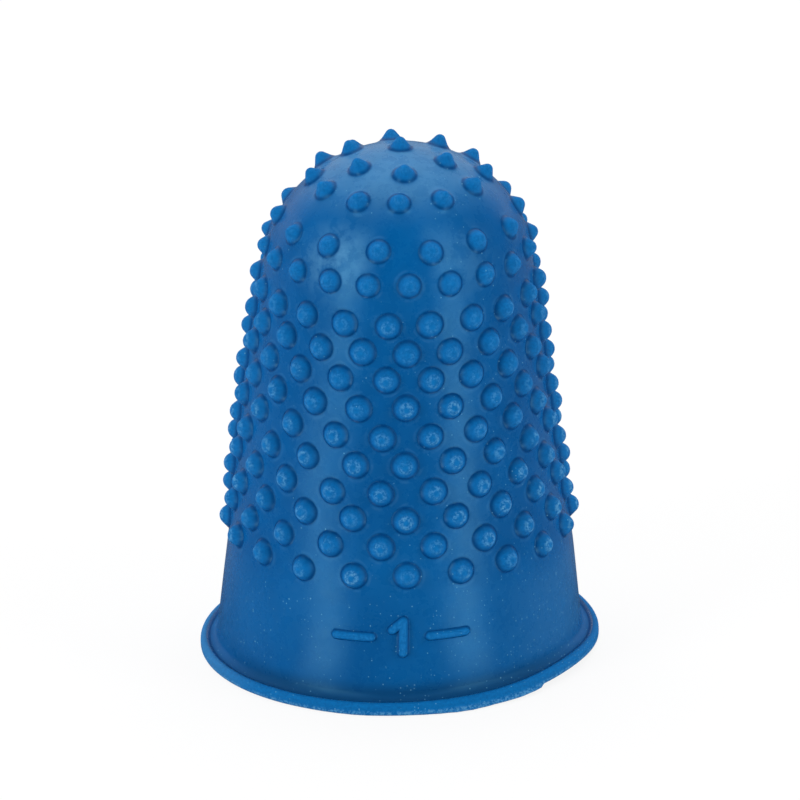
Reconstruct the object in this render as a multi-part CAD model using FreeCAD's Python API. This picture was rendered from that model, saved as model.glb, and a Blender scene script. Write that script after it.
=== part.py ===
import FreeCAD, Part

import math
import os

from FreeCAD import Placement, Rotation, Vector

# A moulded rubber finger tip: a thimble-shaped cap with studs all over it and a beaded rim round its mouth.
# Lengths are in millimetres and angles in degrees. The origin is the centre of the mouth, +Z is up to the crown.

# The wall, measured on its outside
foot_radius = 11.2  # where the side meets the plane of the mouth
shoulder_radius = 7.96  # where the straight side ends
shoulder_height = 25.79
side_bulge = 0.17  # how far the side stands out from the straight line between the two
shoulder_round = 5.0  # radius of the bend from the side into the crown
shoulder_turn = 16.4  # how far that bend turns
wall = 1.0  # thickness of the rubber

# The rim round the mouth, with a round bead at its edge and a groove between the bead and the wall
rim_reach = 0.95  # how far it stands out past the foot of the wall
rim_height = 0.74  # to the top of the bead
bead_width = 0.5
groove_depth = 0.12  # from the top of the bead down to the groove
groove_rise = 0.5  # from the bottom of the groove to where its hollow runs out into the wall
rim_edge_round = 0.2
mouth_round = 0.3

# A stud is a cone with a ball for its tip, which stands square on the wall. Only those on the crown are pointed
side_stud_radius = 0.8  # where it leaves the wall
side_stud_height = 0.68
side_tip_radius = 0.6
shoulder_stud_radius = 0.75
shoulder_stud_height = 0.6
shoulder_tip_radius = 0.48
crown_stud_radius = 0.72
crown_stud_height = 0.74
crown_tip_radius = 0.36
stud_root = 0.3  # how deep a stud is sunk into the wall, where it is one with it

# The rows of studs round the side, with every other row shifted by half a step
side_rows = 10
studs_in_row = 20
row_turn = 3.0  # angle of the first stud of the lowest row, from the front
first_row_up = 8.59  # along the wall from the plane of the mouth to the lowest row
last_row_down = 12.9  # along the wall from the top of the crown to the highest row

# The rings of studs above those rows: how many, how far down the wall from the top, and the angle of the first
crown_rings = (
    (1, 0.0, 0.0),
    (6, 3.05, 7.5),
    (12, 5.4, 1.1),
)
shoulder_rings = (
    (14, 8.5, 15.3),
    (20, 10.55, 4.6),
)

AXIS = Vector(0, 0, 1)
ORIGIN = Vector(0, 0, 0)


def outward(lean):
    """The direction square to the wall in the XZ plane, where the wall leans in by that many degrees."""
    angle = math.radians(lean)
    return Vector(math.cos(angle), 0, math.sin(angle))


class Bend:
    """One arc of the wall's outline, from one lean of the wall to the next."""

    def __init__(self, centre, radius, first_lean, last_lean):
        self.centre = centre
        self.radius = radius
        self.first_lean = first_lean
        self.last_lean = last_lean
        self.length = radius * math.radians(last_lean - first_lean)

    def point(self, lean, depth=0.0):
        return self.centre + outward(lean) * (self.radius - depth)

    def edge(self, depth=0.0, first_lean=None):
        first = self.first_lean if first_lean is None else first_lean
        middle = (first + self.last_lean) / 2
        ends = self.point(first, depth), self.point(middle, depth), self.point(self.last_lean, depth)
        return Part.Arc(*ends).toShape()

    def lean_at_height(self, height, depth=0.0):
        return math.degrees(math.asin((height - self.centre.z) / (self.radius - depth)))


def wall_bends():
    """The side, the shoulder and the crown, as three arcs that run smoothly into one another."""
    run_in = foot_radius - shoulder_radius
    chord = math.hypot(run_in, shoulder_height)
    chord_lean = math.degrees(math.atan2(run_in, shoulder_height))
    side_radius = chord**2 / (8 * side_bulge) + side_bulge / 2
    half_turn = math.degrees(math.asin(chord / 2 / side_radius))
    foot_lean = chord_lean - half_turn
    side_lean = chord_lean + half_turn
    crown_lean = side_lean + shoulder_turn

    side_centre = Vector(foot_radius, 0, 0) - outward(foot_lean) * side_radius
    side = Bend(side_centre, side_radius, foot_lean, side_lean)

    shoulder_centre = side.point(side_lean) - outward(side_lean) * shoulder_round
    shoulder = Bend(shoulder_centre, shoulder_round, side_lean, crown_lean)

    crown_foot = shoulder.point(crown_lean)
    crown_radius = crown_foot.x / math.cos(math.radians(crown_lean))
    crown_centre = crown_foot - outward(crown_lean) * crown_radius
    crown = Bend(crown_centre, crown_radius, crown_lean, 90.0)
    return side, shoulder, crown


def line(start, end):
    return Part.LineSegment(start, end).toShape()


def arc(start, middle, end):
    return Part.Arc(start, middle, end).toShape()


def hollow_arc(tangent_point, tangent_lean, end):
    """The groove's hollow: it leaves the wall smoothly at one point and bends out to the other."""
    normal = outward(tangent_lean)
    across = end - tangent_point
    radius = across.dot(across) / (2 * across.dot(normal))
    centre = tangent_point + normal * radius
    middle = (tangent_point + end) * 0.5 - centre
    middle.normalize()
    return arc(tangent_point, centre + middle * radius, end)


def rim_edges(side):
    """The outline from inside the mouth, under and round the rim, to the groove's end, and the wall's lean there."""
    rim_radius = foot_radius + rim_reach
    mouth_inside = side.point(side.lean_at_height(mouth_round, wall), wall)
    mouth_centre = mouth_inside + Vector(mouth_round, 0, 0)
    mouth_middle = mouth_centre + outward(-135) * mouth_round
    mouth_under = mouth_centre + outward(-90) * mouth_round

    edge_centre = Vector(rim_radius - rim_edge_round, 0, rim_edge_round)
    edge_under = edge_centre + outward(-90) * rim_edge_round
    edge_middle = edge_centre + outward(-45) * rim_edge_round
    edge_side = edge_centre + outward(0) * rim_edge_round

    bead_round = bead_width / 2
    bead_centre = Vector(rim_radius - bead_round, 0, rim_height - bead_round)
    bead_outer = bead_centre + outward(0) * bead_round
    bead_top = bead_centre + outward(90) * bead_round
    groove_turn = 180 - math.degrees(math.asin(1 - groove_depth / bead_round))
    groove_bottom = bead_centre + outward(groove_turn) * bead_round

    groove_end_lean = side.lean_at_height(groove_bottom.z + groove_rise)
    groove_end = side.point(groove_end_lean)
    rim = [
        arc(mouth_inside, mouth_middle, mouth_under),
        line(mouth_under, edge_under),
        arc(edge_under, edge_middle, edge_side),
        line(edge_side, bead_outer),
        arc(bead_outer, bead_top, groove_bottom),
        hollow_arc(groove_end, groove_end_lean, groove_bottom),
    ]
    return rim, groove_end_lean


def smooth_cap(bends):
    """The wall and its rim without the studs, turned from one outline."""
    side, shoulder, crown = bends
    rim, groove_end_lean = rim_edges(side)
    outside = [side.edge(0.0, groove_end_lean), shoulder.edge(), crown.edge()]
    across_top = line(crown.point(90.0), crown.point(90.0, wall))
    inside = [crown.edge(wall), shoulder.edge(wall), side.edge(wall, side.lean_at_height(mouth_round, wall))]
    outline = Part.Wire(Part.__sortEdges__(rim + outside + [across_top] + inside))
    return Part.Face(outline).revolve(ORIGIN, AXIS, 360)


def stud(radius, height, tip_radius):
    """One stud, with its axis along +Z and the wall's surface at z = 0."""
    tip_centre = Vector(0, 0, height - tip_radius)
    base = Vector(radius, 0, 0)
    to_tip = tip_centre - base
    flank_length = math.sqrt(to_tip.Length**2 - tip_radius**2)
    flank_rise = math.atan2(to_tip.z, -to_tip.x) + math.asin(tip_radius / to_tip.Length)
    flank = Vector(-math.cos(flank_rise), 0, math.sin(flank_rise))
    flank_top = base + flank * flank_length
    root_edge = base - flank * (stud_root / math.sin(flank_rise))
    root_centre = Vector(0, 0, -stud_root)
    tip_lean = (180 - math.degrees(flank_rise)) / 2
    tip = tip_centre + AXIS * tip_radius
    outline = Part.Wire(
        [
            line(root_centre, root_edge),
            line(root_edge, flank_top),
            arc(flank_top, tip_centre + outward(tip_lean) * tip_radius, tip),
            line(tip, root_centre),
        ]
    )
    return Part.Face(outline).revolve(ORIGIN, AXIS, 360)


def place_on_wall(bends, distance):
    """The point of the wall's outline that far along it from the plane of the mouth, and the lean there."""
    bend, *above = bends
    while above and distance > bend.length:
        distance -= bend.length
        bend, *above = above
    lean = bend.first_lean + math.degrees(distance / bend.radius)
    return bend.point(lean), lean


def ring_of_studs(bends, distance, count, first_angle, stud_sizes):
    """Studs evenly round the wall at one distance along it. Angles run from the front, -Y, towards +X."""
    point, lean = place_on_wall(bends, distance)
    # the seam of a stud's surface is kept off the wall's own outline, where the two would run together
    seam_aside = Placement(ORIGIN, Rotation(AXIS, 90))
    upright = Placement(point, Rotation(AXIS, outward(lean))) * seam_aside
    ring = []
    for number in range(count):
        angle = first_angle - 90 + number * 360 / count
        copy = stud(*stud_sizes)
        copy.Placement = Placement(ORIGIN, Rotation(AXIS, angle)) * upright
        ring.append(copy)
    return ring


def all_studs(bends):
    side_sizes = side_stud_radius, side_stud_height, side_tip_radius
    shoulder_sizes = shoulder_stud_radius, shoulder_stud_height, shoulder_tip_radius
    crown_sizes = crown_stud_radius, crown_stud_height, crown_tip_radius
    along_wall = sum(bend.length for bend in bends)
    row_step = (along_wall - last_row_down - first_row_up) / (side_rows - 1)
    studs = []
    for row in range(side_rows):
        shift = 180 / studs_in_row * (row % 2)
        distance = first_row_up + row * row_step
        studs += ring_of_studs(bends, distance, studs_in_row, row_turn + shift, side_sizes)
    for rings, stud_sizes in ((shoulder_rings, shoulder_sizes), (crown_rings, crown_sizes)):
        for count, down, first_angle in rings:
            studs += ring_of_studs(bends, along_wall - down, count, first_angle, stud_sizes)
    return studs


def finger_tip():
    bends = wall_bends()
    return smooth_cap(bends).fuse(all_studs(bends)).Solids[0]


os.makedirs("parts", exist_ok=True)
finger_tip().exportStep("parts/finger_tip.step")
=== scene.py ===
"""A blue rubber finger tip: a thimble-shaped cap with studs all over it, standing on its beaded rim."""

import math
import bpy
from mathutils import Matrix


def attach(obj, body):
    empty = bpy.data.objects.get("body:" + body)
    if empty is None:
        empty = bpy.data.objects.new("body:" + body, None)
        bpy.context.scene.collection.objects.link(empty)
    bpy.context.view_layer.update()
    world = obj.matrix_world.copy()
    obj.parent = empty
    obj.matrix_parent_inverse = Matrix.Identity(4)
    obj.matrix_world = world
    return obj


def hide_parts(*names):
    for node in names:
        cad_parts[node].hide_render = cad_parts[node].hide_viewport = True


bl_info = {
    "name": "Rubber finger tip",
    "version": (1, 0, 0),
    "blender": (4, 5, 0),
    "location": "3D View > Sidebar > Finger tip",
    "description": "Makes a studded rubber finger tip over its packed model, with finish, floor and lamps",
    "category": "Object",
}

import bpy
import numpy as np
from mathutils import Matrix, Vector

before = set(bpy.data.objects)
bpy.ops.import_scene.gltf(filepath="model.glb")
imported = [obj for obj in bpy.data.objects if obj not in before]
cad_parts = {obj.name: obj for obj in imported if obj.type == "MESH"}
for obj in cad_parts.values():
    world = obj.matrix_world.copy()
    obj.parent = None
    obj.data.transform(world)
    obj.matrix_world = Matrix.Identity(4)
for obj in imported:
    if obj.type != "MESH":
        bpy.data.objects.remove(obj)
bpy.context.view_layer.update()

MM = 0.001
FULL_TURN = 2 * math.pi

# The rings of studs on the crown and the shoulder: how many, how far down the wall from the top in mm, and
# the angle of the first. The one at the top was moulded a little to the right
CROWN_RINGS = (
    (1, 0.13, 90.0),
    (6, 3.05, 7.5),
    (12, 5.4, 1.1),
)
SHOULDER_RINGS = (
    (14, 8.5, 15.3),
    (20, 10.55, 4.6),
)

# The most that a lamp on one side and the lamp above can give, in watts
SIDE_LAMP_POWER = 2.5
TOP_LAMP_POWER = 3.0

# The smallest and largest share of its four true sizes that a moulded stud may have
STUD_SPREAD = ((0.97, 0.94, 0.92, 0.8), (1.03, 1.03, 1.08, 1.2))

# Where painted highlights lie on the crown, in the object's own frame, and how much of each
HIGHLIGHT_SPOTS = (
    ((-3.1 * MM, -6.8 * MM, 27.2 * MM), 0.52),
    ((4.0 * MM, -6.6 * MM, 27.0 * MM), 0.22),
)


def number(name, description, value, **more):
    return bpy.props.FloatProperty(name=name, description=description, default=value, **more)


def length(name, description, millimetres):
    """A size in the panel, given here in millimetres and kept in metres."""
    return number(name, description, millimetres * MM, precision=5, unit="LENGTH")


def turn(name, description, degrees):
    return number(name, description, math.radians(degrees), precision=3, subtype="ANGLE")


def share(name, description, value):
    return number(name, description, value, min=0.0, max=1.0, precision=4, subtype="FACTOR")


def strength(name, description, value):
    return number(name, description, value, min=0.0, precision=3)


def lengths(name, description, millimetres):
    sizes = [value * MM for value in millimetres]
    return bpy.props.FloatVectorProperty(
        name=name, description=description, default=sizes, size=len(sizes), precision=5, unit="LENGTH"
    )


def count(name, description, value):
    return bpy.props.IntProperty(name=name, description=description, default=value, min=1)


def colour(name, description, value):
    return bpy.props.FloatVectorProperty(
        name=name, description=description, default=value, size=3, min=0.0, max=1.0, subtype="COLOR"
    )


class WallSize(bpy.types.PropertyGroup):
    """The smooth wall, measured on its outside."""

    foot_radius: length("Foot radius", "Where the side meets the plane of the mouth", 11.2)
    shoulder_radius: length("Shoulder radius", "Where the straight side ends", 7.96)
    shoulder_height: length("Shoulder height", "Height where the straight side ends", 25.79)
    side_bulge: length("Side bulge", "How far the side stands out from a straight line", 0.17)
    shoulder_round: length("Shoulder round", "Radius of the bend from the side into the crown", 5.0)
    shoulder_turn: turn("Shoulder turn", "How far that bend turns", 16.4)
    thickness: length("Thickness", "Thickness of the rubber", 1.0)
    skirt_sway: length("Skirt sway", "How far the skirt leans to the right by the lowest studs", 0.24)
    crown_sway: length("Crown sway", "How much further the crown leans to the right", 0.6)
    nod: turn("Nod", "How far the wall leans towards the front", 1.25)
    side_tilt: turn("Side tilt", "How far the rows of studs dip on the right", 0.57)
    upper_tilt: turn("Upper tilt", "How much further they do so near the shoulder", 1.2)
    oval: length("Oval", "How far the side is out of round", 0.03)
    ripple: length("Ripple", "How far its smaller unevenness goes", 0.015)
    flare: length("Flare", "How far the skirt and rim flare out on the right", 0.14)
    curl: length("Curl", "How far the rim curls up off the table on the front right", 0.36)
    curl_turn: turn("Curl turn", "Where it curls up most, right of the front", 60.0)


class RimSize(bpy.types.PropertyGroup):
    """The rim round the mouth, with a bead at its edge and a groove between the bead and the wall."""

    reach: length("Reach", "How far the rim stands out past the wall", 0.95)
    height: length("Height", "Height of the bead's top", 0.74)
    bead_width: length("Bead width", "Thickness of the bead", 0.6)
    groove_depth: length("Groove depth", "From the top of the bead down to the groove", 0.12)
    groove_rise: length("Groove rise", "From the bottom of the groove to the end of its hollow", 0.5)
    edge_round: length("Edge round", "Radius of the rim's lower edge", 0.2)
    mouth_round: length("Mouth round", "Radius of the edge inside the mouth", 0.3)
    flash: length("Flash", "How far the trimmed edge under the bead stands out", 0.36)


class StudSize(bpy.types.PropertyGroup):
    """The studs and their rows.

    The four sizes of a stud are its radius, its height, and the radii of its tip and of the hollow round it.
    """

    side: lengths("Side", "The four sizes of a side stud", (0.82, 0.68, 0.6, 0.1))
    shoulder: lengths("Shoulder", "The four sizes of a shoulder stud", (0.75, 0.6, 0.48, 0.2))
    crown: lengths("Crown", "The four sizes of a crown stud", (0.72, 0.74, 0.36, 0.6))
    wander: length("Wander", "How far a stud may stand from its true place", 0.11)
    rows: count("Rows", "Rows of studs round the side", 10)
    in_row: count("Studs in a row", "How many studs a row has", 20)
    first_up: length("First row", "Along the wall from the mouth to the lowest row", 8.59)
    last_down: length("Last row", "Along the wall from the top to the highest row", 12.9)
    first_turn: turn("First turn", "Angle of the lowest row's first stud, from the front", 2.2)
    odd_turn: turn("Odd turn", "How much further every other row is turned", 0.8)
    twist: turn("Twist", "How far the rows are twisted by the top of the side", 1.4)
    drift: turn("Drift", "How far left the studs on the front left are moved", 1.4)
    skirt: length("Skirt", "From the lowest row down to the plain skirt", 1.25)
    seed: count("Seed", "Seed of the studs' small differences", 7)


class MarkSize(bpy.types.PropertyGroup):
    """The raised size number on the skirt, between two short bars."""

    up: length("Up", "Along the wall from the mouth to the middle of the mark", 4.75)
    figure_height: length("Figure height", "Height of the number", 2.6)
    stroke: length("Stroke", "Width of a raised stroke at half its height", 0.52)
    relief: length("Relief", "How far a stroke stands out", 0.3)
    reach: length("Reach", "From the middle of the mark to the far end of a bar", 3.9)
    gap: length("Gap", "From the middle of the mark to the near end of a bar", 1.75)
    slope: length("Slope", "Width of a stroke's sloping side", 0.28)
    sunk: length("Sunk", "How far the mark's lower edge is sunk into the wall", 0.02)
    cell: length("Cell", "Size of the mark's mesh", 0.075)


class RubberFinish(bpy.types.PropertyGroup):
    """The coloured rubber and what lies on it."""

    body: colour("Body", "Colour of the rubber", (0.0005, 0.09, 0.29))
    deep: colour("Deep", "Colour of thick, clean rubber", (0.0003, 0.075, 0.252))
    # Lighter colour of stud tops, the bead and the number's strokes: part wear, part painted highlight
    rubbed_and_highlit: colour("Rubbed", "Colour of the rubber on stud tops", (0.0015, 0.133, 0.39))
    # Painted shade on the studs' flanks and in creases
    shade: colour("Shade", "Colour of the rubber in creases and on a stud's flank", (0.0001, 0.04, 0.16))
    # Painted shade: a darker, greyer colour in the groove on the front
    groove_shade: colour("Film", "Colour of the grey film in the groove", (0.002, 0.052, 0.165))
    # Colour of bloom, and also of painted highlights, reflections and sheen
    bloom_and_highlights: colour("Bloom", "Colour of the pale bloom", (0.1, 0.3, 0.52))
    dust: colour("Dust", "Colour of the specks of dust", (0.16, 0.43, 0.6))
    gloss_tint: colour("Gloss tint", "Colour of the rubber's gloss", (0.34, 0.88, 0.86))
    gloss_level: share("Gloss level", "How strongly the rubber shines", 0.25)
    bump: share("Bump", "How strongly the fine relief shows", 0.36)
    bump_depth: length("Bump depth", "How deep the fine relief is", 0.03)


class StageSize(bpy.types.PropertyGroup):
    """The camera, the lamps and the floor."""

    distance: length("Distance", "From the camera to the point that it looks at", 500.0)
    elevation: turn("Elevation", "How high the camera stands above the horizon", 20.9)
    roll: turn("Roll", "How far the camera is turned clockwise", 1.73)
    aim_right: length("Aim right", "How far right of the axis the camera looks", 0.517)
    aim_height: length("Aim height", "The height that the camera looks at", 15.605)
    picture: length("Picture", "Width of what the camera sees at that point", 48.485)
    left_lamp_turn: turn("Left lamp turn", "Azimuth of the left soft box from the camera", -52.0)
    right_lamp_turn: turn("Right lamp turn", "Azimuth of the right soft box from the camera", 62.0)
    left_lamp: share("Left lamp", "Strength of the left soft box", 0.46)
    right_lamp: share("Right lamp", "Strength of the right soft box", 0.35)
    top_lamp: share("Top lamp", "Strength of the soft box above", 0.75)
    ambient: share("Ambient", "Strength of the light from all round", 0.24)
    side_light: share("Side light", "Further light from the pale walls on either side", 0.75)
    gloss: share("Gloss", "How bright dim surroundings are in gloss", 0.012)
    band: strength("Band", "How bright the pale bands on either side are in gloss", 5.6)
    band_turn: turn("Band turn", "Azimuth of the pale bands from the camera, far away", 43.0)
    left_spread: turn("Left spread", "How much further out the left band lies on the floor", 18.0)
    right_spread: turn("Right spread", "How much further out the right band lies on the floor", 5.0)
    band_width: turn("Band width", "From the middle of a band to where it ends", 15.0)
    sky: strength("Sky", "How bright the sky behind is in gloss", 1.25)
    backdrop: strength("Backdrop", "How bright the backdrop behind is in gloss", 0.65)
    back_floor: strength("Back floor", "How bright the floor behind is in gloss", 0.18)


class Wall:
    """The outside of the smooth wall: three arcs turned about +Z, which run smoothly into one another."""

    def __init__(self, size):
        run_in = size.foot_radius - size.shoulder_radius
        chord = math.hypot(run_in, size.shoulder_height)
        chord_lean = math.atan2(run_in, size.shoulder_height)
        side_radius = chord**2 / (8 * size.side_bulge) + size.side_bulge / 2
        half_turn = math.asin(chord / 2 / side_radius)
        side_lean = chord_lean + half_turn
        crown_lean = side_lean + size.shoulder_turn
        self.leans = np.array([chord_lean - half_turn, side_lean, crown_lean, math.pi / 2])
        square = np.stack([np.cos(self.leans), np.sin(self.leans)], axis=1)
        side_centre = np.array([size.foot_radius, 0.0]) - square[0] * side_radius
        shoulder_centre = side_centre + square[1] * (side_radius - size.shoulder_round)
        crown_foot = shoulder_centre + square[2] * size.shoulder_round
        crown_radius = crown_foot[0] / square[2, 0]
        crown_centre = crown_foot - square[2] * crown_radius
        self.centres = np.array([side_centre, shoulder_centre, crown_centre])
        self.radii = np.array([side_radius, size.shoulder_round, crown_radius])
        ends = np.cumsum(self.radii * np.diff(self.leans))
        self.starts = np.array([0.0, ends[0], ends[1]])
        self.along = ends[2]
        self.thickness = size.thickness

    def at(self, along, depth=0.0):
        """Radius, height and lean of the wall, that far along it from the plane of the mouth."""
        along = np.asarray(along, dtype=float)
        bend = np.clip(np.searchsorted(self.starts, along, side="right") - 1, 0, 2)
        lean = self.leans[bend] + (along - self.starts[bend]) / self.radii[bend]
        reach = self.radii[bend] - depth
        radius = self.centres[bend, 0] + reach * np.cos(lean)
        height = self.centres[bend, 1] + reach * np.sin(lean)
        return radius, height, lean

    def along_at_height(self, height, depth=0.0):
        """How far along the wall its side has that height."""
        lean = math.asin((height - self.centres[0, 1]) / (self.radii[0] - depth))
        return (lean - self.leans[0]) * self.radii[0]

    def points(self, along, azimuth):
        """Points of the wall, and the directions square to it there."""
        radius, height, lean = self.at(along)
        return turned(radius, height, azimuth), turned(np.cos(lean), np.sin(lean), azimuth)

    def nearest(self, points):
        """The points of the wall nearest to these, and the directions square to it there."""
        across = np.hypot(points[:, 0], points[:, 1])
        lean = np.zeros(len(points))
        radius = np.zeros(len(points))
        height = np.zeros(len(points))
        for bend, (centre, reach) in enumerate(zip(self.centres, self.radii)):
            angle = np.arctan2(points[:, 2] - centre[1], across - centre[0])
            here = angle >= self.leans[bend] if bend else angle > -1.0
            lean = np.where(here, angle, lean)
            radius = np.where(here, centre[0] + reach * np.cos(angle), radius)
            height = np.where(here, centre[1] + reach * np.sin(angle), height)
        azimuth = np.arctan2(points[:, 0], -points[:, 1])
        return turned(radius, height, azimuth), turned(np.cos(lean), np.sin(lean), azimuth)

    def spread(self):
        """A table of distances along the wall, against the log of its flat map's scale there."""
        along = np.linspace(0.0, self.along - 0.02 * MM, 4000)
        radius = self.at(along)[0]
        steps = np.diff(along) * (1 / radius[1:] + 1 / radius[:-1]) / 2
        return along, np.concatenate([[0.0], np.cumsum(steps)])


def turned(radius, height, azimuth):
    """Points at that radius and height. The azimuth runs from the front, -Y, towards the right, +X."""
    radius, height, azimuth = np.broadcast_arrays(radius, height, azimuth)
    return np.stack([radius * np.sin(azimuth), -radius * np.cos(azimuth), height], axis=-1)


def smooth(value):
    """Goes gently from 0 to 1 as the value does."""
    value = np.clip(value, 0.0, 1.0)
    return value * value * (3 - 2 * value)


def between(value, start, end):
    """Goes gently from 0 to 1 as the value goes from start to end."""
    return smooth((value - start) / (end - start))


def settle(points, size):
    """Soft rubber never stands true: it leans a little, and nothing is quite round. Spans are in mm."""
    x, y, z = points.T
    up = z / MM
    azimuth = np.arctan2(x, -y)
    uneven = size.oval * np.sin(2 * azimuth + 0.7 + up / 9) + size.ripple * np.sin(5 * azimuth + 2.0)
    grow = 1 + uneven * (1 - between(up, 20, 32)) / (10 * MM)
    free = between(up, 1, 6)
    flare = size.flare * (1 - between(up, 6, 11)) * between(x / MM, 0, 11)
    curl_reach = 0.42
    curl = size.curl * (1 - free) * np.exp(-(((azimuth - size.curl_turn) / curl_reach) ** 2))
    sway = size.skirt_sway * between(up, 0, 9) + size.crown_sway * between(up, 13, 32)
    nod = math.tan(size.nod)
    forward = nod * z * between(up, 0, 3)
    near_shoulder = between(up, 12, 20) * (1 - between(up, 24, 30))
    inner = x * (1 - between(x / MM, 4, 10))
    dip = free * (0.8 * nod * y - math.tan(size.side_tilt) * x)
    dip = dip - math.tan(size.upper_tilt) * near_shoulder * inner
    return np.stack([x * grow + sway + flare, y * grow - forward, z + dip + curl], axis=1)


def rolled(loop):
    """The same loop, begun one place later."""
    return loop[1:] + loop[:1]


def add_object(name, data):
    made = bpy.data.objects.new(name, data)
    bpy.context.scene.collection.objects.link(made)
    return made


class Skin:
    """The points and faces of a mesh while it is made. Each loop runs anticlockwise, seen from outside."""

    def __init__(self):
        self.points = []
        self.faces = []
        self.notes = {"across": [], "wear": [], "hollow": []}

    def add(self, points, across=2.0, wear=0.0, hollow=0.0):
        """Adds points and gives their numbers, with three notes about each for the finish.

        They are its distance from a stud's axis in radii of the stud, how worn that stud is, and how deep the
        point lies in a groove.
        """
        first = len(self.points)
        self.points.extend(points)
        for name, values in (("across", across), ("wear", wear), ("hollow", hollow)):
            self.notes[name].extend(np.broadcast_to(values, len(points)))
        return list(range(first, len(self.points)))

    def strip(self, inner, outer):
        self.faces.extend(zip(inner, outer, rolled(outer), rolled(inner)))

    def fan(self, tip, loop):
        self.faces.extend((tip, here, after) for here, after in zip(loop, rolled(loop)))

    def close(self, loop, tip):
        self.faces.extend((here, tip, after) for here, after in zip(loop, rolled(loop)))

    def piece(self, name, wall_size):
        """Makes the mesh object of soft rubber, and rides it on the body."""
        mesh = bpy.data.meshes.new(name)
        mesh.from_pydata(settle(np.array(self.points), wall_size).tolist(), [], self.faces)
        for label, values in self.notes.items():
            attribute = mesh.attributes.new(label, "FLOAT", "POINT")
            attribute.data.foreach_set("value", np.array(values, dtype=np.float32))
        mesh.validate()
        mesh.shade_smooth()
        mesh.set_sharp_from_angle(angle=math.radians(62))
        made = add_object(name, mesh)
        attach(made, "root")
        return made


def stud_places(wall, studs):
    """How far along the wall and at which azimuth each stud stands."""
    last = wall.along - studs.last_down
    step = (last - studs.first_up) / (studs.rows - 1)
    places = []
    for row in range(studs.rows):
        first = studs.first_turn + studs.twist * (row / (studs.rows - 1)) ** 2
        if row % 2:
            first += studs.odd_turn + FULL_TURN / studs.in_row / 2
        for number in range(studs.in_row):
            places.append((studs.first_up + row * step, first + number * FULL_TURN / studs.in_row))
    for how_many, down, first in SHOULDER_RINGS + CROWN_RINGS:
        for number in range(how_many):
            places.append((wall.along - down * MM, math.radians(first) + number * FULL_TURN / how_many))
    places = np.array(places)
    leftward = -np.degrees(np.arctan2(np.sin(places[:, 1]), np.cos(places[:, 1])))
    low = 1 - between(places[:, 0] / MM, 17, 22)
    front_left = between(leftward, 28, 42) * (1 - between(leftward, 75, 110))
    places[:, 1] -= studs.drift * low * front_left
    return places


def cut(polygon, beyond):
    """The part of a polygon that isn't beyond a line, from how far beyond it each corner lies."""
    kept = []
    for number in range(len(polygon)):
        here, there = polygon[number - 1], polygon[number]
        past_here, past_there = beyond[number - 1], beyond[number]
        if (past_here > 0) != (past_there > 0):
            kept.append(here + (there - here) * past_here / (past_here - past_there))
        if past_there <= 0:
            kept.append(there)
    return np.array(kept)


def cells(places, wall, studs):
    """The patch of wall nearest to each stud, as corners given along the wall and by azimuth."""
    along_table, scale_table = wall.spread()
    scale = np.interp(places[:, 0], along_table, scale_table)
    flat = np.exp(-scale + 1j * places[:, 1])
    flat[places[:, 0] > wall.along - 0.01 * MM] = 0
    lowest = places[:, 0] < studs.first_up + 0.1 * MM
    mirror = np.interp(studs.first_up - 2 * studs.skirt, along_table, scale_table)
    below = np.exp(-mirror + 1j * places[lowest, 1])
    everything = np.concatenate([flat, below])
    patches = []
    neighbours = 25
    widest = 4
    for middle in flat:
        away = np.abs(everything - middle)
        near = np.argsort(away)[1 : neighbours + 1]
        polygon = middle + widest * away[near[0]] * np.array([1 + 1j, -1 + 1j, -1 - 1j, 1 - 1j])
        for other in everything[near]:
            beyond = ((polygon - (middle + other) / 2) * np.conj(other - middle)).real
            polygon = cut(polygon, beyond)
        corners_along = np.interp(-np.log(np.abs(polygon)), scale_table, along_table)
        patches.append(np.stack([corners_along, np.angle(polygon)], axis=1))
    return patches


def joined_corners(patches, wall, floor):
    """One list of corners for all the patches, and each patch as numbers in that list."""
    floor_reach = 0.6 * MM
    same_place = 0.1 * MM
    corners = []
    loops = []
    for patch in patches:
        loop = []
        for along, azimuth in patch:
            on_floor = along < floor + floor_reach
            point = wall.points(floor if on_floor else along, azimuth)[0]
            for number, (known, known_floor) in enumerate(corners):
                if known_floor == on_floor and np.abs(known - point).max() < same_place:
                    break
            else:
                number = len(corners)
                corners.append((point, on_floor))
            if number not in loop:
                loop.append(number)
        loops.append(loop)
    return corners, loops


class StudProfile:
    """One stud's outline: a ball, a straight flank and a hollow foot that runs out into the wall."""

    def __init__(self, foot, height, tip, root_round):
        self.foot = foot
        self.height = height
        self.tip = tip
        self.ball = height - tip
        self.flank = math.atan2(self.ball, foot) + math.asin(tip / math.hypot(foot, self.ball))
        self.ball_end = tip * math.sin(self.flank)
        self.root_round = root_round
        self.root = root_round * math.tan(self.flank / 2)
        self.flank_end = foot - self.root * math.cos(self.flank)

    def rings(self):
        """The distances from its axis at which the mesh has a ring of points."""
        on_ball = [self.tip * math.sin(self.flank * part) for part in (0.3, 0.57, 0.8, 1.0)]
        on_flank = [self.ball_end + (self.flank_end - self.ball_end) * part for part in (0.5, 1.0)]
        on_root = [self.foot + self.root * part for part in (0.05, 0.5, 1.0)]
        return on_ball + on_flank + on_root

    def rise(self, radius):
        """How high it stands at that distance from its axis."""
        reach = np.clip(self.foot + self.root - radius, 0.0, self.root_round)
        on_ball = self.ball + np.sqrt(np.clip(self.tip**2 - radius**2, 0.0, None))
        on_flank = (self.foot - radius) * math.tan(self.flank)
        on_root = self.root_round - np.sqrt(self.root_round**2 - reach**2)
        low = np.where(radius < self.flank_end, on_flank, on_root)
        return np.where(radius < self.ball_end, on_ball, low)


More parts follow.
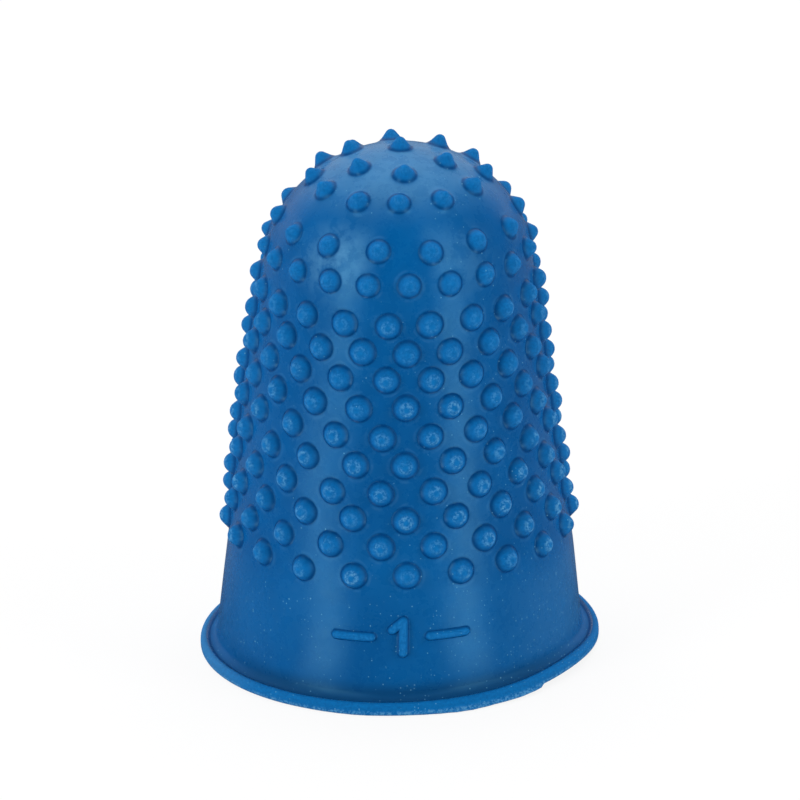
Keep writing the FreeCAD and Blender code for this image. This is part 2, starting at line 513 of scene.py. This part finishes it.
class Seams:
    """The lines where the patches of wall round the studs meet, each made once for both sides."""

    step = 0.4 * MM
    floor_parts = 8

    def __init__(self, skin, wall, corners, floor):
        self.skin = skin
        self.wall = wall
        self.corners = corners
        self.floor = floor
        self.numbers = skin.add([point for point, on_floor in corners])
        self.made = {}

    def on_floor(self, low, high):
        return self.corners[low][1] and self.corners[high][1]

    def points(self, low, high):
        """Points from one corner to another, level along the floor or straight across the wall."""
        start, end = self.corners[low][0], self.corners[high][0]
        if self.on_floor(low, high):
            from_azimuth = math.atan2(start[0], -start[1])
            sweep = math.remainder(math.atan2(end[0], -end[1]) - from_azimuth, FULL_TURN)
            steps = np.arange(1, self.floor_parts) / self.floor_parts
            return self.wall.points(self.floor, from_azimuth + sweep * steps)[0]
        parts = max(1, round(np.linalg.norm(end - start) / self.step))
        if parts == 1:
            return []
        steps = np.arange(1, parts)[:, None] / parts
        return self.wall.nearest(start + (end - start) * steps)[0]

    def line(self, first, second):
        """The numbers of the points between two corners, from the first to the second."""
        low, high = min(first, second), max(first, second)
        if (low, high) not in self.made:
            self.made[low, high] = self.skin.add(self.points(low, high))
        numbers = self.made[low, high]
        return numbers if first == low else numbers[::-1]

    def round_patch(self, loop):
        boundary = []
        for corner, after in zip(loop, rolled(loop)):
            boundary += [self.numbers[corner], *self.line(corner, after)]
        return boundary

    def lowest(self):
        """The loop of points along the floor, and their azimuths."""
        lowest = [number for number, (point, on_floor) in zip(self.numbers, self.corners) if on_floor]
        for (low, high), numbers in self.made.items():
            if self.on_floor(low, high):
                lowest += numbers
        azimuths = np.array([math.atan2(self.skin.points[n][0], -self.skin.points[n][1]) for n in lowest])
        order = np.argsort(azimuths)
        return [lowest[n] for n in order], azimuths[order]


def raise_stud(skin, wall, boundary, middle, axes, stud, wear):
    """One stud in its patch of wall: rings of points from its tip out to the patch's boundary."""
    outward, across, up = axes
    away = np.array([skin.points[number] for number in boundary]) - middle
    flat = np.stack([away @ across, away @ up], axis=1)
    reach = np.hypot(*flat.T)
    parts = [np.minimum(ring / reach, 0.84 + 0.012 * number) for number, ring in enumerate(stud.rings())]
    parts.append((1 + parts[-1]) / 2)
    tip = skin.add([middle + outward * stud.height], across=0.0, wear=wear)[0]
    inner = None
    for part in parts:
        here = flat * part[:, None]
        on_plane = middle + here[:, :1] * across + here[:, 1:] * up
        points = wall.nearest(on_plane)[0] + outward * stud.rise(reach * part)[:, None]
        loop = skin.add(points, across=reach * part / stud.foot, wear=wear)
        if inner is None:
            skin.fan(tip, loop)
        else:
            skin.strip(inner, loop)
        inner = loop
    skin.strip(inner, boundary)


def studded_wall(skin, wall, studs):
    """Every stud with its patch of wall, joined edge to edge. Gives the lowest loop and its azimuths."""
    chance = np.random.default_rng(studs.seed)
    places = stud_places(wall, studs)
    floor = studs.first_up - studs.skirt
    corners, loops = joined_corners(cells(places, wall, studs), wall, floor)
    seams = Seams(skin, wall, corners, floor)
    side, shoulder, crown = (np.array([*sizes]) for sizes in (studs.side, studs.shoulder, studs.crown))
    crown_from = wall.along - (CROWN_RINGS[-1][1] + 0.5) * MM
    shoulder_from = wall.along - (SHOULDER_RINGS[-1][1] + 0.5) * MM
    for (along, azimuth), loop in zip(places, loops):
        boundary = seams.round_patch(loop)
        aside = chance.normal(0.0, 0.45, 2).clip(-1, 1) * studs.wander
        place, outward = wall.points(along, azimuth)
        across = turned(1.0, 0.0, azimuth + math.pi / 2)
        up = np.cross(outward, across)
        middle = wall.nearest((place + across * aside[0] + up * aside[1])[None])[0][0]
        sizes = crown if along > crown_from else shoulder if along > shoulder_from else side
        stud = StudProfile(*(sizes * chance.uniform(*STUD_SPREAD)))
        less_worn_above = float(np.interp(along, (16 * MM, 27 * MM), (1.0, 0.15)))
        wear = chance.uniform(0.25, 0.85) * less_worn_above
        raise_stud(skin, wall, boundary, middle, (outward, across, up), stud, wear)
    return seams.lowest()


def arc(centre, radius, first, last, parts):
    """Points of an arc after its first one, as radius and height, between two angles in degrees."""
    angles = np.radians(np.linspace(first, last, parts + 1)[1:])
    return [(centre[0] + radius * math.cos(a), centre[1] + radius * math.sin(a)) for a in angles]


def rim_outline(wall, rim):
    """From the end of the groove's hollow, round the bead and under the rim, to the inside of the mouth."""
    rim_radius = rim.reach + wall.at(0.0)[0]
    bead_round = rim.bead_width / 2
    bead_centre = (rim_radius - bead_round, rim.height - bead_round)
    groove_turn = math.pi - math.asin(1 - rim.groove_depth / bead_round)
    bottom = bead_centre + bead_round * np.array([math.cos(groove_turn), math.sin(groove_turn)])
    end_radius, end_height, end_lean = wall.at(wall.along_at_height(bottom[1] + rim.groove_rise))
    hollow_start = np.array([end_radius, end_height])
    square = np.array([math.cos(end_lean), math.sin(end_lean)])
    span = bottom - hollow_start
    hollow_radius = span @ span / (2 * span @ square)
    hollow_centre = hollow_start + square * hollow_radius
    first = math.degrees(end_lean) + 180
    last = math.degrees(math.atan2(*(bottom - hollow_centre)[::-1])) % 360
    groove = [tuple(hollow_start), *arc(hollow_centre, hollow_radius, first, last, 7)]
    bead = arc(bead_centre, bead_round, math.degrees(groove_turn), 0, 10)
    edge_centre = (rim_radius - rim.edge_round, rim.edge_round)
    edge = [(rim_radius, rim.edge_round), *arc(edge_centre, rim.edge_round, 0, -90, 5)]
    inside_radius = wall.at(wall.along_at_height(rim.mouth_round, wall.thickness), wall.thickness)[0]
    mouth_centre = (inside_radius + rim.mouth_round, rim.mouth_round)
    under = [(mouth_centre[0] + 0.45 * MM, 0.0), (mouth_centre[0], 0.0)]
    mouth = arc(mouth_centre, rim.mouth_round, 270, 180, 5)
    return groove, bead, edge + under + mouth


def trimmed(radius, height, azimuth, rim):
    """The trimmed edge that was left under the bead on part of the front."""
    turn_right = np.degrees(azimuth)
    thin = 0.3 * between(turn_right, -30, -10)
    wide = 0.7 * between(turn_right, 2, 17)
    cut_off = turn_right < 44.5
    ragged = 0.9 + 0.1 * np.sin(0.4 * turn_right) + 0.06 * np.sin(1.3 * turn_right)
    low = 1 - between(height / MM, 0.08, 0.28)
    return radius + rim.flash * (thin + wide) * cut_off * ragged * low


def skirt_and_inside(skin, wall, rim, top, azimuths, studs):
    """The plain skirt, the rim and the inside of the wall, down from the lowest loop of the studded wall."""
    groove, bead, underside = rim_outline(wall, rim)
    groove_along = wall.along_at_height(groove[0][1])
    skirt_rows, inside_rows = 15, 34
    steps = np.linspace(studs.first_up - studs.skirt, groove_along, skirt_rows)[1:-1]
    outline = [(radius, height, 0.0) for radius, height, lean in zip(*wall.at(steps))]
    outline += [(*point, number / 7) for number, point in enumerate(groove)]
    outline += [(*point, 0.0) for point in bead + underside]
    inside_from = wall.along_at_height(rim.mouth_round, wall.thickness)
    inside_steps = np.linspace(inside_from, wall.along, inside_rows)[1:-1]
    inside = [(radius, height, 0.0) for radius, height, lean in zip(*wall.at(inside_steps, wall.thickness))]
    foot = wall.at(0.0)[0]
    loop = top
    for radius, height, hollow in outline + inside:
        outer = trimmed(radius, height, azimuths, rim) if radius > foot + 0.5 * MM else radius
        on_bead = radius > foot + 0.55 * MM
        edge = on_bead and height < 0.2 * MM
        # the finish takes the bead for the top of a stud, lighter in part from wear and in part as painted
        # highlight, and its lower edge for a worn one
        across = 0.4 if edge else 0.68 if on_bead else 2.0
        lower = skin.add(turned(outer, height, azimuths), across=across, wear=0.7 * edge, hollow=hollow)
        skin.strip(loop, lower)
        loop = lower
    inner_top = wall.at(wall.along, wall.thickness)[1]
    skin.close(loop, skin.add(turned(np.zeros(1), inner_top, np.zeros(1)))[0])


class MakeCap(bpy.types.Operator):
    """Make the studded cap with its rim, as one closed skin"""

    bl_idname = "finger_tip.make_cap"
    bl_label = "Make the cap"

    def execute(self, context):
        scene = context.scene
        wall = Wall(scene.tip_wall)
        skin = Skin()
        lowest, azimuths = studded_wall(skin, wall, scene.tip_studs)
        skirt_and_inside(skin, wall, scene.tip_rim, lowest, azimuths, scene.tip_studs)
        cap = skin.piece("studded_cap", scene.tip_wall)
        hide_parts("finger_tip")
        return {"FINISHED"}


def from_stroke(x, y, start, end):
    """How far points are from a straight stroke."""
    run = np.array(end) - np.array(start)
    part = np.clip(((x - start[0]) * run[0] + (y - start[1]) * run[1]) / (run @ run), 0.0, 1.0)
    return np.hypot(x - start[0] - part * run[0], y - start[1] - part * run[1])


class MakeMark(bpy.types.Operator):
    """Make the raised size number and the bars on either side of it"""

    bl_idname = "finger_tip.make_mark"
    bl_label = "Make the size number"

    def execute(self, context):
        scene = context.scene
        mark = scene.tip_mark
        wall = Wall(scene.tip_wall)
        half = mark.figure_height / 2 - mark.stroke / 2
        stem = 0.15 * MM
        margin = 0.7 * MM
        strokes = [
            ((stem, -half), (stem, half)),
            ((stem, half), (-0.5 * MM, half - 0.55 * MM)),
            ((-mark.reach, 0.0), (-mark.gap, 0.0)),
            ((mark.gap, 0.0), (mark.reach, 0.0)),
        ]
        across = np.arange(-mark.reach - margin, mark.reach + margin, mark.cell)
        upward = np.arange(-half - margin, half + margin, mark.cell)
        x, y = np.meshgrid(across, upward)
        near = np.min([from_stroke(x, y, start, end) for start, end in strokes], axis=0)
        slope = smooth((mark.stroke / 2 + mark.slope / 2 - near) / mark.slope)
        rise = mark.relief * slope - mark.sunk
        middle_radius = wall.at(mark.up)[0]
        foot, square = wall.points(mark.up + y, x / middle_radius)
        skin = Skin()
        points = (foot + square * rise[..., None]).reshape(-1, 3)
        # the finish takes the face of a stroke for the top of a stud, lighter in part from wear and in part
        # as painted highlight, with painted shade along its sloping sides
        skin.add(points, across=1.15 - 0.6 * slope.ravel(), wear=0.2)
        kept = near < mark.stroke / 2 + 0.2 * MM
        shown = kept[1:, 1:] | kept[1:, :-1] | kept[:-1, 1:] | kept[:-1, :-1]
        wide = len(across)
        for row, column in np.argwhere(shown).tolist():
            corner = row * wide + column
            skin.faces.append((corner, corner + 1, corner + wide + 1, corner + wide))
        skin.piece("size_number", scene.tip_wall)
        return {"FINISHED"}


def maths(operation, swapped=False):
    """A method of Sock that adds one Math node."""

    def method(self, other):
        return self.math(operation, *((other, self) if swapped else (self, other)))

    return method


class Sock:
    """A node's socket, on which Python's operators add Math nodes."""

    def __init__(self, shader, socket):
        self.shader = shader
        self.socket = socket

    def math(self, operation, *values):
        slots = dict(enumerate(values or [self]))
        return self.shader.node("Math", {"operation": operation}, slots)["Value"]

    __add__ = maths("ADD")
    __radd__ = maths("ADD", swapped=True)
    __sub__ = maths("SUBTRACT")
    __rsub__ = maths("SUBTRACT", swapped=True)
    __mul__ = maths("MULTIPLY")
    __rmul__ = maths("MULTIPLY", swapped=True)
    __lt__ = maths("LESS_THAN")
    most = maths("MAXIMUM")

    def ramp(self, low, high, at_low=0.0, at_high=1.0):
        """Goes smoothly from one value to the other as this one goes from low to high."""
        settings = {"interpolation_type": "SMOOTHSTEP"}
        slots = {"Value": self, "From Min": low, "From Max": high, "To Min": at_low, "To Max": at_high}
        return self.shader.node("MapRange", settings, slots)["Result"]


class Shader:
    """Builds the nodes of one material or world."""

    def __init__(self, owner):
        owner.use_nodes = True
        self.tree = owner.node_tree
        self.tree.nodes.clear()

    def node(self, kind, settings=None, slots=None):
        """Adds a node, sets it up, then fills its sockets with values or links. Gives its outputs by name."""
        made = self.tree.nodes.new("ShaderNode" + kind)
        for name, value in (settings or {}).items():
            setattr(made, name, value)
        for name, value in (slots or {}).items():
            socket = made.inputs[name]
            if isinstance(value, Sock):
                self.tree.links.new(value.socket, socket)
            else:
                socket.default_value = value
        return {output.name: Sock(self, output) for output in made.outputs if output.enabled}

    def vectors(self, operation, *values):
        return self.node("VectorMath", {"operation": operation}, dict(enumerate(values)))

    def mix(self, factor, first, second):
        """Mixes two colours."""
        slots = {0: factor, 6: opaque(first), 7: opaque(second)}
        return self.node("Mix", {"data_type": "RGBA"}, slots)["Result"]

    def noise(self, place, scale, detail=2.0, roughness=0.5, **more):
        slots = {"Vector": place, "Scale": scale, "Detail": detail, "Roughness": roughness, **more}
        return self.node("TexNoise", None, slots)["Fac"]

    def attribute(self, name):
        return self.node("Attribute", {"attribute_name": name})["Fac"]

    def specks(self, place, scale, size, amount):
        """Small round specks, of which only a share of the cells has one."""
        found = self.node("TexVoronoi", None, {"Vector": place, "Scale": scale})
        split = self.node("SeparateColor", None, {"Color": found["Color"]})
        inside = found["Distance"].ramp(size, size * 0.55)
        return inside * (split["Red"] < amount) * split["Green"].ramp(-0.3, 1.0)


def opaque(value):
    """A colour with its fourth number, or a link as it is."""
    return value if isinstance(value, Sock) else (*value, 1.0)


class RubberShader(Shader):
    """The moulded rubber: its own colour, what lies on it, and how rough and uneven its skin is."""

    def __init__(self, owner, finish):
        super().__init__(owner)
        self.finish = finish
        self.place = self.node("TexCoord")["Object"]
        away = self.node("SeparateXYZ", None, {"Vector": self.place})
        self.x, self.y, self.z = away["X"], away["Y"], away["Z"]
        self.across = self.attribute("across")
        self.hollow = self.attribute("hollow")
        self.broad = self.noise(self.place, 170.0, 3.0, 0.55, Distortion=0.4)
        self.blotch = self.noise(self.place, 1100.0, 5.0, 0.66, Distortion=0.15)
        self.fine = self.noise(self.place, 6500.0, 3.0, 0.65)
        self.top = self.across.ramp(0.96, 0.62)
        self.open_wall = self.across.ramp(0.95, 1.25)
        self.crease = self.hollow.ramp(0.8, 1.0)
        self.skirt = self.z.ramp(8.4 * MM, 5.5 * MM)

    def rubber(self):
        """Mottled rubber: a greyer, darker colour in the groove on the front as painted shade, pale tops that
        are part wear and part painted highlight, and painted shade in creases and on the studs' flanks.
        """
        finish = self.finish
        tone = self.mix(self.broad.ramp(0.3, 0.7), finish.deep, finish.body)
        front = self.y.ramp(-3 * MM, -9 * MM)
        # painted shade in the groove, on the front only
        groove_shade = self.z.ramp(1.95 * MM, 0.85 * MM) * self.open_wall * front
        groove_shaded = self.mix(groove_shade, tone, finish.groove_shade)
        # stud tops lighter: part wear, part painted highlight
        topped = self.mix(self.top * self.fine.ramp(0.3, 0.65, 0.35, 1.0), groove_shaded, finish.rubbed_and_highlit)
        flank = self.across.ramp(0.76, 0.97) * self.across.ramp(1.13, 1.02)
        # painted shade: darker on each stud's flank and at the bottom of the groove
        return self.mix(flank.most(self.crease) * 0.75, topped, finish.shade)

    def scuffs(self):
        """Ragged scuffs round the tip of a worn stud."""
        round_tip = self.across.ramp(0.14, 0.34) * self.across.ramp(0.62, 0.42)
        return round_tip * self.attribute("wear") * self.blotch.ramp(0.32, 0.52) * self.fine.ramp(0.4, 0.62)

    def bloom_and_highlights(self):
        """Pale marks on the open wall: faint patches of bloom, painted highlights on the given spots and the
        crown, and the skirt's sides, which are partly dust and partly painted sheen.
        """
        bloom_and_highlights = self.broad.ramp(0.5, 0.75) * self.blotch.ramp(0.45, 0.75) * 0.05
        # painted highlights at the given spots
        for spot, amount in HIGHLIGHT_SPOTS:
            away = self.vectors("DISTANCE", self.place, spot)["Value"]
            bloom_and_highlights = bloom_and_highlights.most(away.ramp(3.2 * MM, 0.6 * MM) * self.blotch.ramp(0.25, 0.75) * amount)
        # painted highlight on the crown's top
        crown = self.z.ramp(28.8 * MM, 31.6 * MM) * self.blotch.ramp(0.2, 0.7, 0.5, 1.0) * 0.42
        # the skirt's sides: partly dust, partly painted sheen
        left = self.x.ramp(-6 * MM, -11.5 * MM) * 0.07
        right = self.x.ramp(5 * MM, 11.5 * MM, 0.0, 0.15)
        sides = self.skirt * self.z.ramp(0.9 * MM, 2.2 * MM) * right.most(left)
        return bloom_and_highlights.most(crown).most(sides) * self.open_wall

    def rim_highlight(self):
        """Painted highlight on the left of the bead."""
        on_bead = self.z.ramp(1.3 * MM, 0.9 * MM) * self.across.ramp(0.9, 0.7)
        return on_bead * self.x.ramp(-8 * MM, -11.8 * MM) * 0.2

    def foot_reflection(self):
        """A faint pale ring on the wall round each stud, a painted reflection."""
        near_foot = self.across.ramp(1.08, 1.2) * self.across.ramp(1.42, 1.24)
        return near_foot * self.blotch.ramp(0.42, 0.66) * 0.12

    def dust(self, scuffs):
        """Specks of two sizes, most of them on the skirt, on the right, in creases and on scuffs."""
        right = self.x.ramp(-2 * MM, 9 * MM)
        crowd = self.broad.ramp(0.35, 0.65)
        amount = 0.02 + 0.16 * self.skirt + 0.26 * right * crowd + 0.4 * scuffs + 0.5 * self.crease
        small = self.specks(self.place, 4800.0, 0.24, amount)
        large = self.specks(self.place, 2300.0, 0.14, amount * 0.4)
        return small.most(large) * 0.6

    def relief(self, dust):
        """The normal of a fine moulded grain with upright streaks."""
        upright = self.vectors("MULTIPLY", self.place, (1.0, 1.0, 0.16))["Vector"]
        streaks = self.noise(upright, 3600.0, 2.0, 0.5)
        height = self.blotch * 0.5 + streaks * 0.5 + self.fine * (0.5 + 0.5 * self.top) + dust * 0.4
        slots = {"Strength": self.finish.bump, "Distance": self.finish.bump_depth, "Height": height}
        return self.node("Bump", None, slots)["Normal"]

    def surface(self):
        """Puts it all together as the material's surface."""
        scuffs = self.scuffs()
        dust = self.dust(scuffs)
        pale = self.bloom_and_highlights().most(self.rim_highlight()).most(self.foot_reflection()).most(scuffs)
        # mixes in bloom and scuffs, and also painted highlights, reflections and sheen
        worn = self.mix(pale, self.rubber(), self.finish.bloom_and_highlights)
        matt = self.hollow.most(dust).most(self.top)
        slots = {
            "Base Color": self.mix(dust, worn, self.finish.dust),
            "Roughness": 0.24 + 0.08 * self.blotch.ramp(0.3, 0.7) + 0.45 * matt,
            "IOR": 1.5,
            "Specular IOR Level": self.finish.gloss_level,
            "Specular Tint": opaque(self.finish.gloss_tint),
            "Normal": self.relief(dust),
        }
        skin = self.node("BsdfPrincipled", None, slots)["BSDF"]
        self.node("OutputMaterial", None, {"Surface": skin})


class FinishRubber(bpy.types.Operator):
    """Give the cap and its number their moulded rubber, with bloom, dust and fine grain"""

    bl_idname = "finger_tip.finish_rubber"
    bl_label = "Finish the rubber"

    def execute(self, context):
        rubber = bpy.data.materials.new("moulded_rubber")
        RubberShader(rubber, context.scene.tip_finish).surface()
        for name in ("studded_cap", "size_number"):
            bpy.data.objects[name].data.materials.append(rubber)
        return {"FINISHED"}


def set_camera(scene, stage, aim):
    camera = bpy.data.cameras.new("camera")
    camera.sensor_width = 36.0
    camera.lens = camera.sensor_width * stage.distance / stage.picture
    camera.clip_start = 0.01
    camera.clip_end = 20.0
    shot = add_object("camera", camera)
    back = Vector((0.0, -math.cos(stage.elevation), math.sin(stage.elevation)))
    right = Vector((1.0, 0.0, 0.0))
    up = back.cross(right)
    rolled_right = right * math.cos(stage.roll) - up * math.sin(stage.roll)
    rolled_up = right * math.sin(stage.roll) + up * math.cos(stage.roll)
    turn_to = Matrix((rolled_right, rolled_up, back)).transposed().to_4x4()
    shot.matrix_world = Matrix.Translation(aim + back * stage.distance) @ turn_to
    scene.camera = shot


def soft_box(name, size, power, azimuth, elevation, distance, aim):
    """A rectangular lamp that looks at the object from one side."""
    light = bpy.data.lights.new(name, "AREA")
    light.shape = "RECTANGLE"
    light.size, light.size_y = size
    light.energy = power
    lamp = add_object(name, light)
    flat = math.cos(elevation)
    towards = Vector((math.sin(azimuth) * flat, -math.cos(azimuth) * flat, math.sin(elevation)))
    lamp.location = aim + towards * distance
    lamp.rotation_euler = towards.to_track_quat("Z", "Y").to_euler()
    lamp.visible_glossy = False


def set_lamps(stage, aim):
    """A tall soft box on either side, and a broad one above and behind."""
    tall, broad = (0.17, 0.45), (0.6, 0.5)
    low, high = math.radians(15), math.radians(66)
    left_power, right_power = stage.left_lamp * SIDE_LAMP_POWER, stage.right_lamp * SIDE_LAMP_POWER
    soft_box("soft_box_left", tall, left_power, stage.left_lamp_turn, low, 0.42, aim)
    soft_box("soft_box_right", tall, right_power, stage.right_lamp_turn, low, 0.42, aim)
    soft_box("soft_box_top", broad, stage.top_lamp * TOP_LAMP_POWER, math.pi, high, 0.5, aim)


def pale_surroundings(shader, towards, stage):
    """How bright the surroundings look in gloss, by the direction or the place of what is reflected."""
    along = shader.node("SeparateXYZ", None, {"Vector": towards})
    x, y, z = along["X"], along["Y"], along["Z"]
    far = shader.vectors("LENGTH", towards)["Value"]
    azimuth = x.math("ARCTAN2", x, 0 - y)
    aside = x.math("ABSOLUTE")
    sky = y.ramp(-0.06, 0.08) * z.ramp(0.38, 0.95) * aside.ramp(0.5, 0.2) * stage.sky
    backdrop = y.ramp(0.3, 0.7) * z.ramp(-0.05, 0.1) * stage.backdrop
    floor = y.ramp(0.0, 0.02) * z.ramp(0.05, 0.0) * stage.back_floor
    bands = z.ramp(0.9, 0.8) * far.ramp(0.014, 0.022) * stage.band
    # on the floor the bands start just past the rim, and lie furthest out a little way off
    spread = far.ramp(0.025, 0.085) * far.ramp(0.145, 0.085)
    inward = far.ramp(0.085, 0.025, 0.0, 0.17)
    left = (azimuth + stage.band_turn + stage.left_spread * spread - inward * 0.5).math("ABSOLUTE")
    right = (azimuth - stage.band_turn - stage.right_spread * spread + inward).math("ABSOLUTE")
    near = stage.band_width * 0.2
    bands = bands * left.ramp(stage.band_width, near).most(right.ramp(stage.band_width, near))
    return sky.most(backdrop).most(bands).most(floor) + stage.gloss


def seen_as_background(shader, gloss):
    """1 for what the camera sees straight or through glass, gloss in reflections, and 0 otherwise."""
    path = shader.node("LightPath")
    straight = path["Is Camera Ray"].most(path["Is Transmission Ray"])
    return straight.most(path["Is Glossy Ray"] * gloss)


def set_surroundings(scene, stage):
    """White for the camera, pale walls on either side for the light, and bands for the gloss."""
    world = bpy.data.worlds.new("surroundings")
    scene.world = world
    shader = Shader(world)
    towards = shader.node("TexCoord")["Generated"]
    sideways = shader.node("SeparateXYZ", None, {"Vector": towards})["X"].math("ABSOLUTE")
    path = shader.node("LightPath")
    all_round = (stage.ambient + stage.side_light * sideways.ramp(0.3, 0.95)) * (1 - path["Is Glossy Ray"])
    seen = seen_as_background(shader, pale_surroundings(shader, towards, stage)).most(all_round)
    light = shader.node("Background", None, {"Color": (1, 1, 1, 1), "Strength": seen})
    shader.node("OutputWorld", None, {"Surface": light["Background"]})


def pale_paper(stage):
    """The floor's material: nearly plain white for the camera, with the object's shadow on it, and glowing in
    gloss with pale bands, a painted reflection of soft boxes.
    """
    paper = bpy.data.materials.new("pale_paper")
    shader = Shader(paper)
    tone, plain_white = 0.86, 0.87
    matt = shader.node("BsdfDiffuse", None, {"Color": (tone, tone, tone, 1)})["BSDF"]
    place = shader.node("TexCoord")["Object"]
    seen = seen_as_background(shader, pale_surroundings(shader, place, stage))
    white = shader.node("Emission", None, {"Color": (1, 1, 1, 1), "Strength": seen})["Emission"]
    path = shader.node("LightPath")
    plain = path["Is Camera Ray"].most(path["Is Transmission Ray"]) * plain_white
    slots = {0: plain.most(path["Is Glossy Ray"]), 1: matt, 2: white}
    blend = shader.node("MixShader", None, slots)["Shader"]
    shader.node("OutputMaterial", None, {"Surface": blend})
    return paper


def lay_floor(stage):
    mesh = bpy.data.meshes.new("floor")
    far = 1.5
    corners = [(-far, -far, 0), (far, -far, 0), (far, far, 0), (-far, far, 0)]
    mesh.from_pydata(corners, [], [(0, 1, 2, 3)])
    mesh.materials.append(pale_paper(stage))
    floor = add_object("floor", mesh)


class SetStage(bpy.types.Operator):
    """Set the camera, the soft boxes, the pale surroundings and the floor"""

    bl_idname = "finger_tip.set_stage"
    bl_label = "Set the stage"

    def execute(self, context):
        scene = context.scene
        stage = scene.tip_stage
        aim = Vector((stage.aim_right, 0.0, stage.aim_height))
        set_camera(scene, stage, aim)
        set_lamps(stage, aim)
        set_surroundings(scene, stage)
        lay_floor(stage)
        scene.view_settings.view_transform = "Standard"
        return {"FINISHED"}


class FingerTipPanel(bpy.types.Panel):
    """Lists the finger tip's operators and sizes in the 3D view's sidebar"""

    bl_idname = "VIEW3D_PT_finger_tip"
    bl_label = "Finger tip"
    bl_space_type = "VIEW_3D"
    bl_region_type = "UI"
    bl_category = "Finger tip"

    def draw(self, context):
        for operator in OPERATORS:
            self.layout.operator(operator.bl_idname)
        for name, group in GROUPS.items():
            box = self.layout.box()
            settings = getattr(context.scene, name)
            for field in group.__annotations__:
                box.prop(settings, field)


OPERATORS = (MakeCap, MakeMark, FinishRubber, SetStage)
GROUPS = {
    "tip_wall": WallSize,
    "tip_rim": RimSize,
    "tip_studs": StudSize,
    "tip_mark": MarkSize,
    "tip_finish": RubberFinish,
    "tip_stage": StageSize,
}


def register():
    for group in GROUPS.values():
        bpy.utils.register_class(group)
    for name, group in GROUPS.items():
        setattr(bpy.types.Scene, name, bpy.props.PointerProperty(type=group))
    for operator in OPERATORS:
        bpy.utils.register_class(operator)
    bpy.utils.register_class(FingerTipPanel)


def unregister():
    bpy.utils.unregister_class(FingerTipPanel)
    for operator in reversed(OPERATORS):
        bpy.utils.unregister_class(operator)
    for name in GROUPS:
        delattr(bpy.types.Scene, name)
    for group in reversed(list(GROUPS.values())):
        bpy.utils.unregister_class(group)


def main():
    register()
    bpy.ops.finger_tip.make_cap()
    bpy.ops.finger_tip.make_mark()
    bpy.ops.finger_tip.finish_rubber()
    bpy.ops.finger_tip.set_stage()
    bpy.context.view_layer.update()


if __name__ == "__main__":
    main()
